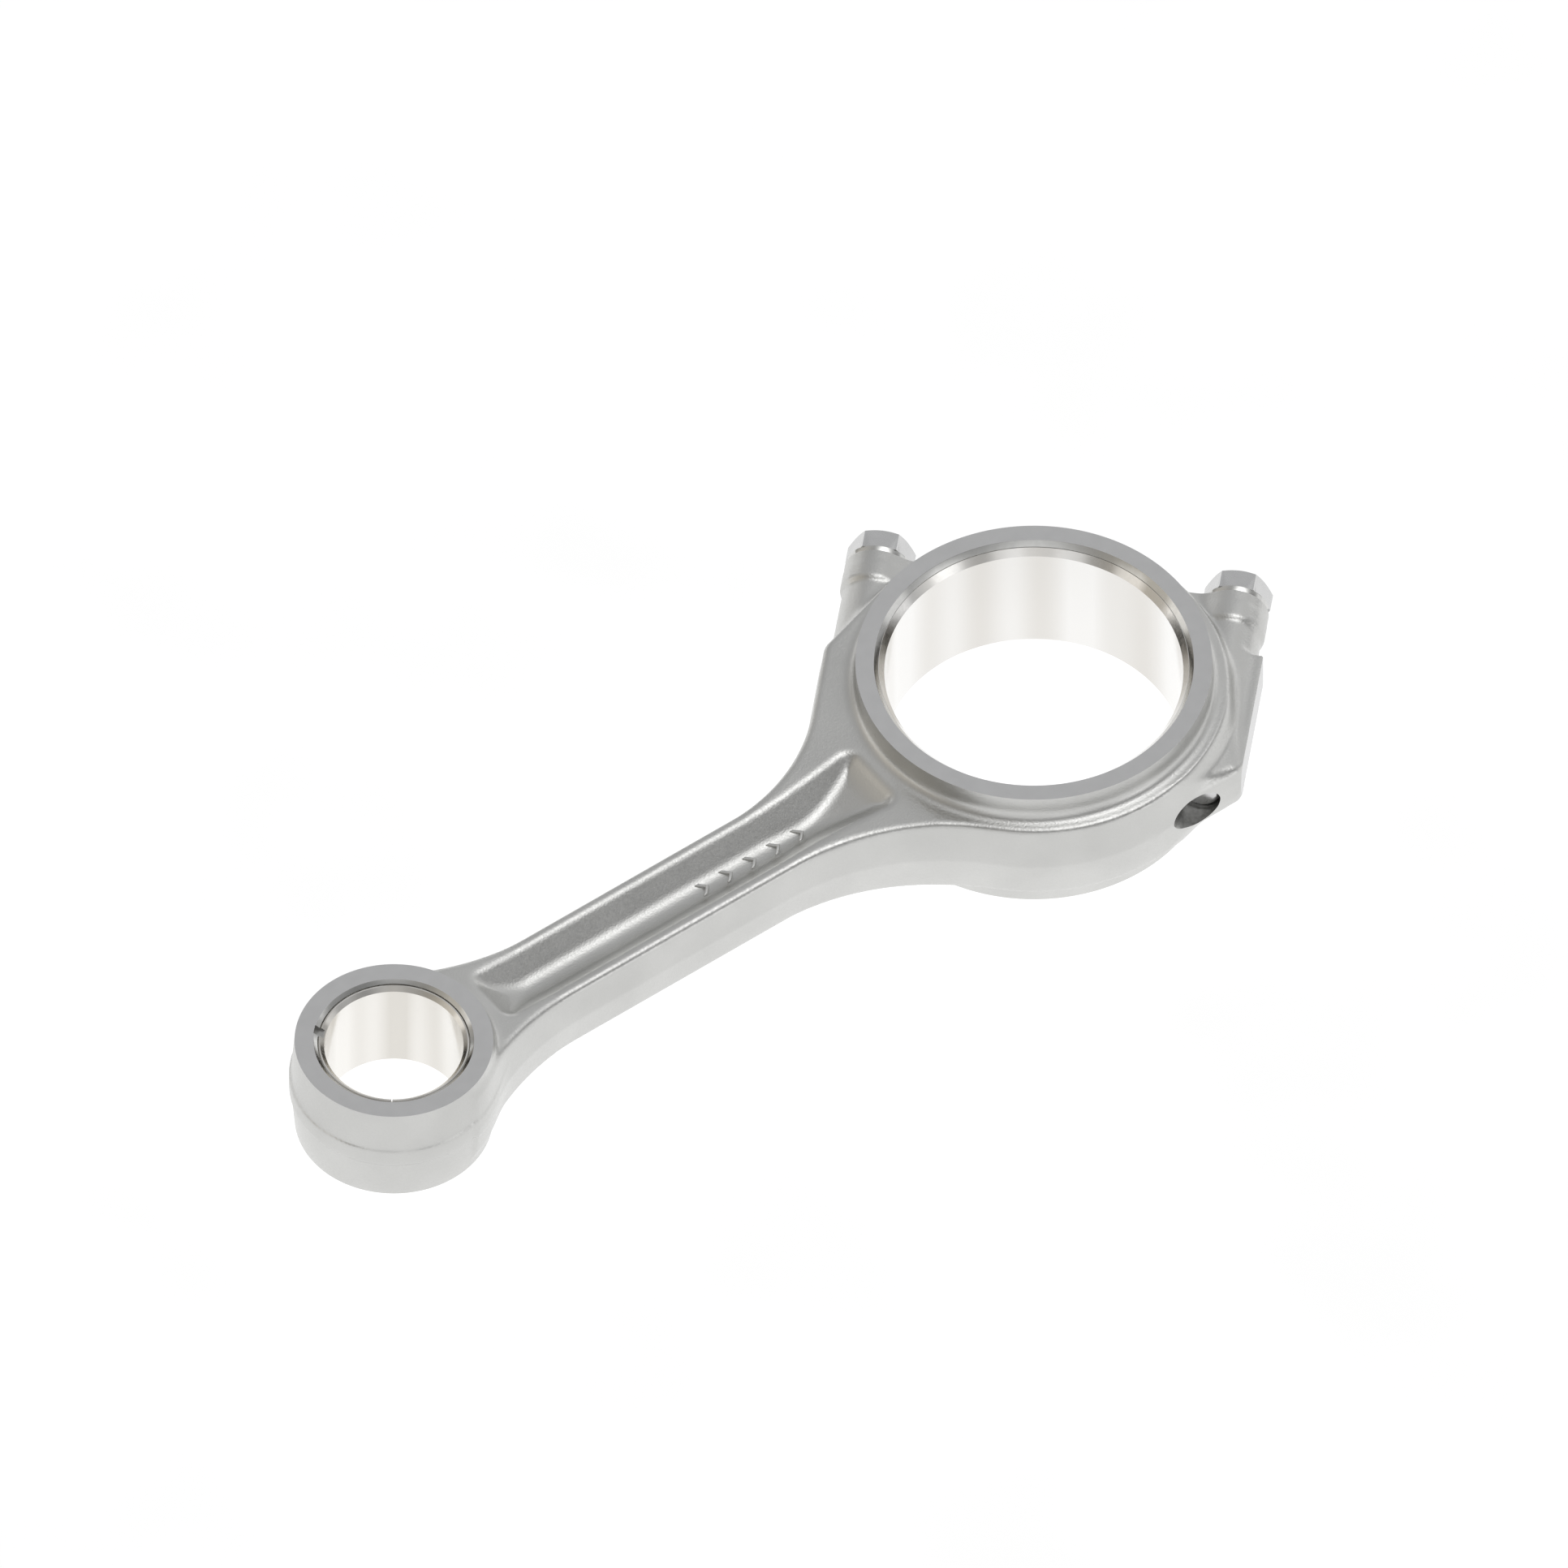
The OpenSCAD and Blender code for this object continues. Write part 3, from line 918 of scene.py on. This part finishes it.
def hexagon_head():
    """Six flats, one of them facing straight up, and a turned chamfer at the far end."""
    corner_r = ACROSS_FLATS / 2 / cos(pi / 6)
    corners = [(corner_r * cos(i * pi / 3), corner_r * sin(i * pi / 3)) for i in range(6)]
    low, high = SEAT + COLLAR - 0.1, SEAT + HEAD
    points = [(x, y, z) for z in (low, high) for x, y in corners]
    faces = [(5, 4, 3, 2, 1, 0), (6, 7, 8, 9, 10, 11)]
    faces += [(i, (i + 1) % 6, 6 + (i + 1) % 6, 6 + i) for i in range(6)]
    head = mesh_object("head", points, faces, BOLT)
    face_r = ACROSS_FLATS / 2 - 0.5
    cone = lathe("cone", [(0, low - 1), (face_r + CONE, low - 1),
                          (face_r + CONE, high - CONE * CHAMFER), (face_r, high), (0, high)],
                 BOLT, 144)
    cut(head, cone, "INTERSECT")
    return head


def collar_profile():
    """The collar is a shallow cone that narrows towards the seat."""
    return [(0, SEAT), (COLLAR_R - 0.6, SEAT), (COLLAR_R, SEAT + COLLAR - 0.15),
            (COLLAR_R, SEAT + COLLAR), (0, SEAT + COLLAR)]


# %% Both bolts
def smooth_piece(piece, angle=25):
    """Smooth shading, with crisp edges where faces turn by more than the angle."""
    piece.data.polygons.foreach_set("use_smooth", np.ones(len(piece.data.polygons), bool))
    piece.data.set_sharp_from_angle(angle=radians(angle))


def bolt(name, side, body, node):
    piece = shank(name)
    make_outward(piece)
    cut(piece, lathe("collar", collar_profile(), BEVEL, 96), "UNION")
    cut(piece, hexagon_head(), "UNION")
    moved(piece, bolt_place(side))
    make_outward(piece)
    smooth_piece(piece, 26)
    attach(piece, body)
    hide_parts(node)
    print(name, len(piece.data.polygons), "faces")


bolt("bolt_by_beam", -1, "beam_side_bolt", "bolt_beam_side")
bolt("bolt_by_free_side", 1, "free_side_bolt", "bolt_free_side")

# %% [markdown]
# ## Bearing shells and bush
# The shells are one turned ring cut along the joint. Their ends are bevelled in line with the
# mouth of the housing, so that shells and housing read as one polished funnel. The bush is
# rolled from strip, so it has a fine butt seam, and it is staked once so that it can't turn.
# All are lathe profiles with 192 or 256 steps, as a coarser ring would show its corners in
# such a polished bore.

# %% Bearing shells
SHELL_RIM = 0.12          # flat left at the outer edge of a shell's end
shell_end = BIG_HALF - (MOUTH_R - HOUSING_R + SHELL_RIM) * MOUTH_SLOPE
bevel_end = BIG_HALF - (MOUTH_R - CRANKPIN_R) * MOUTH_SLOPE
rim_r = HOUSING_R - SHELL_RIM
shell_profile = [(CRANKPIN_R, -bevel_end), (rim_r, -shell_end), (HOUSING_R, -shell_end),
                 (HOUSING_R, shell_end), (rim_r, shell_end), (CRANKPIN_R, bevel_end)]
for name, body, node, operation in (
        ("shell_rod_half", "rod_assembly", "rod_side_shell", "DIFFERENCE"),
        ("shell_cap_half", "cap_assembly", "cap_side_shell", "INTERSECT")):
    shell = lathe(name, shell_profile, OVERLAY, 256)
    cut(shell, cap_half("half", OVERLAY), operation)
    smooth_piece(shell)
    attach(shell, body)
    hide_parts(node)
    print(name, len(shell.data.polygons), "faces")

# %% Bush
BUSH_END, BUSH_BEVEL, BUSH_BREAK = 14.1, 1.0, 0.35
bush_profile = [(PIN_R, -BUSH_END + BUSH_BEVEL), (PIN_R + BUSH_BEVEL, -BUSH_END),
                (EYE_R - BUSH_BREAK, -BUSH_END), (EYE_R, -BUSH_END + BUSH_BREAK),
                (EYE_R, BUSH_END - BUSH_BREAK), (EYE_R - BUSH_BREAK, BUSH_END),
                (PIN_R + BUSH_BEVEL, BUSH_END), (PIN_R, BUSH_END - BUSH_BEVEL)]
bush = lathe("wrapped_bush", bush_profile, BUSH, 192)
seam = block("seam", (10, -0.15, -20), (25, 0.15, 20), DRILLED)
cut(bush, moved(seam, Matrix.Rotation(radians(231.7), 4, "Z")))
cut(bush, stake_cutter(21))
moved(bush, AT_EYE)
smooth_piece(bush)
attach(bush, "rod_assembly")
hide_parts("small_end_bush")
print("wrapped_bush", len(bush.data.polygons), "faces")

# %% [markdown]
# ## Floor and light
# The rod lies on a light table: a pale floor that glows softly, so that walls and bores mirror
# white. Where metal is near it glows more, a painted pool of bounce light that stands in for
# light thrown to and fro between metal and floor. Above it is a tent that is dim at the sides
# and bright overhead. A few lamps could light the rod too, but
# metal shows what it mirrors, and a rounded edge mirrors the tent's bright part as one thin
# line, which is what makes the forging read as metal.

# %% Floor
FLOOR_Z, FLOOR_HALF = cad_box[0][2] / MM, 3000
floor_material, floor_tree, floor_place = new_material("studio_floor")
pale = mottled_color(floor_tree, floor_place, 40.0, "#FCFCFC", "#FFFFFF")
matte = add(floor_tree, "ShaderNodeBsdfDiffuse", Color=pale)
# Painted bounce light: the floor's glow rises where ambient occlusion finds metal near.
openness = add(floor_tree, "ShaderNodeAmbientOcclusion", Distance=45 * MM).outputs["AO"]
table_glow_and_painted_bounce = add(floor_tree, "ShaderNodeMapRange", Value=openness, From_Min=0.5, From_Max=0.95,
            To_Min=1.22, To_Max=1.04)
glow = add(floor_tree, "ShaderNodeEmission", Color=pale, Strength=table_glow_and_painted_bounce)
blend = add(floor_tree, "ShaderNodeMixShader", Fac=0.95, in_1=matte, in_2=glow)
add(floor_tree, "ShaderNodeOutputMaterial", Surface=blend)
floor_corners = [(x * FLOOR_HALF, y * FLOOR_HALF, FLOOR_Z)
                 for x, y in ((-1, -1), (1, -1), (1, 1), (-1, 1))]
floor = mesh_object("floor", floor_corners, [(0, 1, 2, 3)], floor_material)
print(f"floor at {FLOOR_Z:.1f} mm")

# %% World light
LIGHTS = [   # direction, how narrow it is, colour, strength
    ((0.20, -0.13, 0.97), 18, "#FFFFFF", 2.5),       # softbox overhead
    ((0.30, 0.74, 0.60), 3, "#FCFDFF", 0.40),        # pale wall behind the rod
    ((0.92, 0.05, 0.38), 5, "#FFFFFF", 0.50),        # pale wall at the right
    ((0.38, -0.92, 0.10), 12, "#FFFFFF", 0.90),      # low light in front
    ((-0.80, 0.48, 0.36), 4, "#FFF6E6", 0.50),       # warm wall at the left
    ((-0.55, -0.75, 0.36), 8, "#FFFFFF", 0.75)]      # tall light in front, at the left
DIM = 0.13                # light that comes from everywhere
PANELS, PANEL_COUNT = 0.55, 9.0     # bright panels that stand round the table
world = bpy.data.worlds.new("light_tent")
world.use_nodes = True
sky = world.node_tree
sky.nodes.clear()
toward_sky = add(sky, "ShaderNodeTexCoord").outputs["Generated"]
toward_sky = add(sky, "ShaderNodeVectorMath", {"operation": "NORMALIZE"}, in_0=toward_sky)


def light_from(toward, narrow, colour, strength):
    """A soft light whose brightness falls off with the angle from its direction."""
    facing = add(sky, "ShaderNodeVectorMath", {"operation": "DOT_PRODUCT"}, in_0=toward_sky,
                 in_1=Vector(toward).normalized()).outputs["Value"]
    lit_side = add(sky, "ShaderNodeMath", {"operation": "MAXIMUM"}, in_0=facing, in_1=0.0)
    lobe = add(sky, "ShaderNodeMath", {"operation": "POWER"}, in_0=lit_side, in_1=narrow)
    power = add(sky, "ShaderNodeMath", {"operation": "MULTIPLY"}, in_0=lobe, in_1=strength)
    return add(sky, "ShaderNodeVectorMath", {"operation": "SCALE"}, in_0=srgb(colour)[:3],
               Scale=power)


def standing_panels():
    """Light panels with dark gaps between them, up to about 25 degrees above the table."""
    part = add(sky, "ShaderNodeSeparateXYZ", Vector=toward_sky).outputs
    around = add(sky, "ShaderNodeMath", {"operation": "ARCTAN2"}, in_0=part["Y"], in_1=part["X"])
    turns = add(sky, "ShaderNodeMath", {"operation": "MULTIPLY"}, in_0=around, in_1=PANEL_COUNT)
    wave = add(sky, "ShaderNodeMath", {"operation": "SINE"}, in_0=turns)
    panels = add(sky, "ShaderNodeMapRange", Value=wave, From_Min=-0.4, From_Max=0.4,
                 To_Min=0.0, To_Max=PANELS)
    low = add(sky, "ShaderNodeMapRange", Value=part["Z"], From_Min=0.25, From_Max=0.45,
              To_Min=1.0, To_Max=0.0)
    return add(sky, "ShaderNodeMath", {"operation": "MULTIPLY"}, in_0=panels, in_1=low)


# %% Add up the light
total = add(sky, "ShaderNodeMath", {"operation": "ADD"}, in_0=standing_panels(), in_1=DIM)
for light in LIGHTS:
    total = add(sky, "ShaderNodeVectorMath", {"operation": "ADD"}, in_0=total,
                in_1=light_from(*light))
tent = add(sky, "ShaderNodeBackground", Color=total, Strength=1.0)
add(sky, "ShaderNodeOutputWorld", Surface=tent)
bpy.context.scene.world = world
bpy.context.scene.view_settings.view_transform = "Standard"
print(len(LIGHTS), "lights and", int(PANEL_COUNT), "panels")
